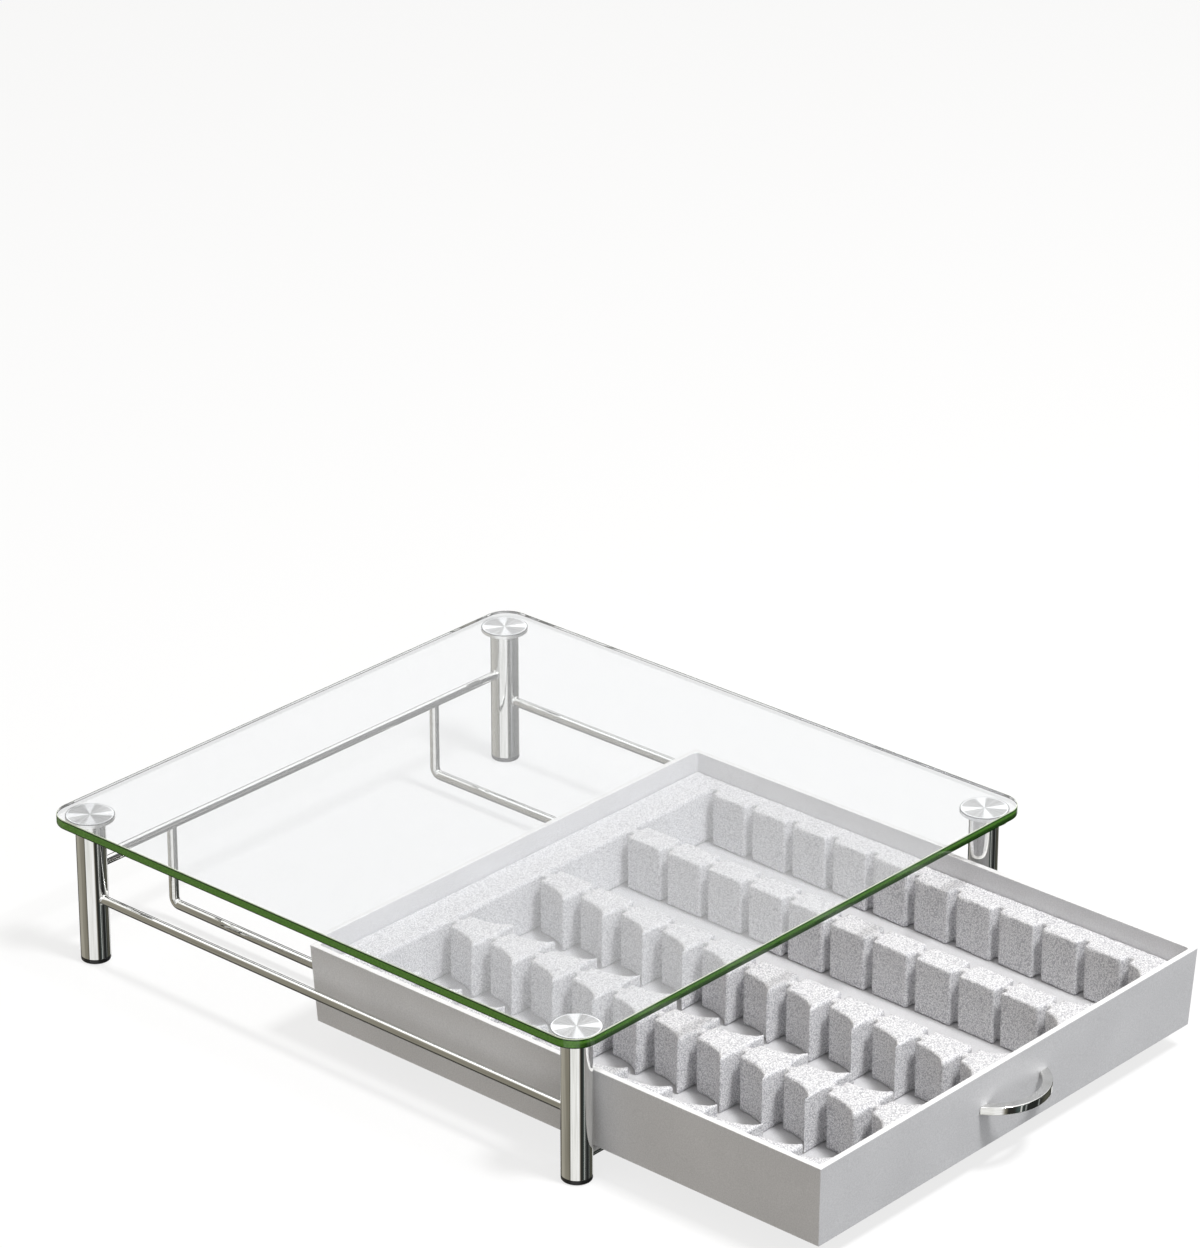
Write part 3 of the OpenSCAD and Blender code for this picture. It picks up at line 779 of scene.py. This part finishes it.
# Hidden fittings keep their own shape and get zinc-plated steel
for name in ("front_left_insert", "front_right_insert", "rear_left_insert", "rear_right_insert",
             "handle_screws"):
    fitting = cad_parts[name].data
    fitting.materials.clear()
    fitting.materials.append(zincSteel)
print("fittings painted")

# Plain pale floor that glows a little, like a lit product table, so that shadows stay faint
floorLook = {"paper": "#FAFAFA", "lit": "#F8F8F8", "glow": 0.79, "size": 30, "sink": 0.3 * mm}
deselectAll()
bpy.ops.mesh.primitive_plane_add(size=floorLook["size"], location=(0, 0, -floorLook["sink"]))
floor = bpy.context.object
floor.name = "studioFloor"
floor.visible_glossy = floor.visible_diffuse = False
floorPaint, tree, output = newMaterial("studioFloorPaint")
paper = addNode(tree, "ShaderNodeBsdfDiffuse", {"Color": linearColor(floorLook["paper"])})
glow = addNode(tree, "ShaderNodeEmission", {"Color": linearColor(floorLook["lit"])})
mixed = addNode(tree, "ShaderNodeMixShader", {0: floorLook["glow"]},
                {1: paper.outputs[0], 2: glow.outputs[0]})
tree.links.new(mixed.outputs[0], output.inputs["Surface"])
floor.data.materials.append(floorPaint)

# Studio surround for what is mirrored: panels below and white light above a limit that varies round the
# room. What is lit sees a soft wash instead, stronger from the front and warmer from the rear
surround = {
    "edge": "#222120", "khaki": "#A6A296", "khakiMid": "#8E8A7E", "khakiDeep": "#837F73", "line": "#55534B",
    "white": "#F4F4F2", "bright": "#FFFFFF", "black": "#30302D", "grey": "#4A5452", "dark": "#2A2C2B",
    "bar": "#A4A8A6", "olive": "#56564D", "pale": "#D9D9D6",
}
studioLook = {  # heights are the upward share of a direction
    "blend": (-0.04, 0.08),  # how softly the panels end at the limit
    "deep": (-0.53, -0.75), "deepShare": 0.9,  # where they turn dark
    "ground": (-0.82, -0.9),  # and where the pale floor shows
    "shine": (1.3, 1.9),  # the white's strength, mirrored and through glass
    "veil": (0.5, 0.62),  # where a dimmed low white reaches its full strength
    "aside": (0.3, -0.954, 0),  # the side that the wash is strongest from, and its strength from either side
    "fromRear": (0.49, 0.44, 0.37, 1), "fromFront": (0.665, 0.68, 0.7, 1),
}
# Degrees round the room: 0 is in front of the object, 90 to its right
lowerStops = [  # the panels' colours
    (-150, "khaki"), (-130, "khakiMid"), (-104, "khakiDeep"), (-94, "line"), (-92, "bright"),
    (-80, "white"), (-48, "white"), (-42, "bright"), (-31, "bright"), (-24, "khakiDeep"), (-18, "black"),
    (-6, "black"), (2, "grey"), (6.6, "grey"), (7.2, "white"), (8.8, "white"), (9.4, "grey"), (15.5, "dark"),
    (18, "bar"), (20.5, "dark"), (47.5, "dark"), (50, "bar"), (52.5, "dark"), (70, "olive"), (88, "olive"),
    (97, "edge"), (103, "bright"), (116, "bright"), (122, "edge"), (162, "edge"), (180, "khaki")]
limitStops = [  # how high they reach
    (-180, 0.12), (-160, 0.14), (-152, 0.67), (-136, 0.68), (-131, 0.62), (-124, 0.12), (-20, 0.1), (20, 0.4),
    (45, 0.74), (75, 0.74), (95, 0.6), (120, 0.26), (138.5, 0.26), (140.3, 0.74), (151, 0.8), (157, 0.8),
    (160, 0.3), (163, 0.12)]
veilStops = [  # how strong the low white above them is
    (-180, 0.5), (90, 0.5), (110, 1.0), (155, 1.0), (172, 0.5), (180, 0.5)]


def byCompass(stops):  # from degrees round the room to places along a ramp
    return [((degrees + 180) / 360, color) for degrees, color in stops]


world = bpy.data.worlds.new("studio")
bpy.context.scene.world = world
world.use_nodes = True
tree = world.node_tree
tree.nodes.clear()
place = addNode(tree, "ShaderNodeTexCoord")
parts = addNode(tree, "ShaderNodeSeparateXYZ", links={0: place.outputs["Generated"]})
front = addNode(tree, "ShaderNodeMath", {"operation": "MULTIPLY", 1: -1.0}, {0: parts.outputs["Y"]})
compass = addNode(tree, "ShaderNodeMath", {"operation": "ARCTAN2"},
                  {0: parts.outputs["X"], 1: front.outputs[0]})
share = addNode(tree, "ShaderNodeMapRange", {"From Min": -math.pi, "From Max": math.pi},
                {"Value": compass.outputs[0]})
lower = addNode(tree, "ShaderNodeValToRGB", links={0: share.outputs[0]})
setStops(lower, byCompass([(degrees, linearColor(surround[word])) for degrees, word in lowerStops]))
limit = addNode(tree, "ShaderNodeValToRGB", links={0: share.outputs[0]})
setStops(limit, byCompass([(degrees, grey(value)) for degrees, value in limitStops]))
above = addNode(tree, "ShaderNodeMath", {"operation": "SUBTRACT"},
                {0: parts.outputs["Z"], 1: limit.outputs[0]})
height = addNode(tree, "ShaderNodeMapRange", {
    "interpolation_type": "SMOOTHSTEP",
    "From Min": studioLook["blend"][0], "From Max": studioLook["blend"][1]}, {"Value": above.outputs[0]})
deep = addNode(tree, "ShaderNodeMapRange", {
    "interpolation_type": "SMOOTHSTEP", "From Min": studioLook["deep"][0], "From Max": studioLook["deep"][1],
    "To Max": studioLook["deepShare"]}, {"Value": parts.outputs["Z"]})
sunk = addNode(tree, "ShaderNodeMix", {"data_type": "RGBA", 7: linearColor(surround["dark"])},
               {0: deep.outputs[0], 6: lower.outputs[0]})
under = addNode(tree, "ShaderNodeMapRange", {
    "From Min": studioLook["ground"][0], "From Max": studioLook["ground"][1]}, {"Value": parts.outputs["Z"]})
floored = addNode(tree, "ShaderNodeMix", {"data_type": "RGBA", 7: linearColor(surround["pale"])},
                  {0: under.outputs[0], 6: sunk.outputs[2]})
path = addNode(tree, "ShaderNodeLightPath")
shine = addNode(tree, "ShaderNodeMapRange", {
    "To Min": studioLook["shine"][0], "To Max": studioLook["shine"][1]},
    {"Value": path.outputs["Is Transmission Ray"]})
veil = addNode(tree, "ShaderNodeValToRGB", links={0: share.outputs[0]})
setStops(veil, byCompass([(degrees, grey(value)) for degrees, value in veilStops]))
high = addNode(tree, "ShaderNodeMapRange", {
    "From Min": studioLook["veil"][0], "From Max": studioLook["veil"][1]}, {"Value": parts.outputs["Z"]})
whole = addNode(tree, "ShaderNodeMix", {"data_type": "FLOAT", 3: 1.0},
                {0: high.outputs[0], 2: veil.outputs[0]})
white = addNode(tree, "ShaderNodeMath", {"operation": "MULTIPLY"}, {0: shine.outputs[0], 1: whole.outputs[0]})
both = addNode(tree, "ShaderNodeMix", {"data_type": "RGBA"},
               {0: height.outputs[0], 6: floored.outputs[2], 7: white.outputs[0]})
aside = addNode(tree, "ShaderNodeVectorMath", {"operation": "DOT_PRODUCT", 1: studioLook["aside"]},
                {0: place.outputs["Generated"]})
toFront = addNode(tree, "ShaderNodeMapRange", {"From Min": -1.0}, {"Value": aside.outputs["Value"]})
wash = addNode(tree, "ShaderNodeMix", {
    "data_type": "RGBA", 6: studioLook["fromRear"], 7: studioLook["fromFront"]}, {0: toFront.outputs[0]})
soft = addNode(tree, "ShaderNodeMix", {"data_type": "RGBA"},
               {0: path.outputs["Is Diffuse Ray"], 6: both.outputs[2], 7: wash.outputs[2]})
seen = addNode(tree, "ShaderNodeMix", {"data_type": "RGBA", 7: grey(1)},
               {0: path.outputs["Is Camera Ray"], 6: soft.outputs[2]})
sky = addNode(tree, "ShaderNodeBackground", {"Strength": 1.0}, {"Color": seen.outputs[2]})
addNode(tree, "ShaderNodeOutputWorld", links={"Surface": sky.outputs[0]})

# One soft key from high above the front
keyLook = {"place": (0.14, -1.3, 2.7), "aim": (0, 0, 0.05), "size": 0.5, "power": 84}
bpy.ops.object.light_add(type="AREA", location=keyLook["place"])
key = bpy.context.object
key.name = "keySoftbox"
key.data.size = keyLook["size"]
key.data.energy = keyLook["power"]
key.rotation_euler = (Vector(keyLook["place"]) - Vector(keyLook["aim"])).to_track_quat("Z", "Y").to_euler()
print("studio set")
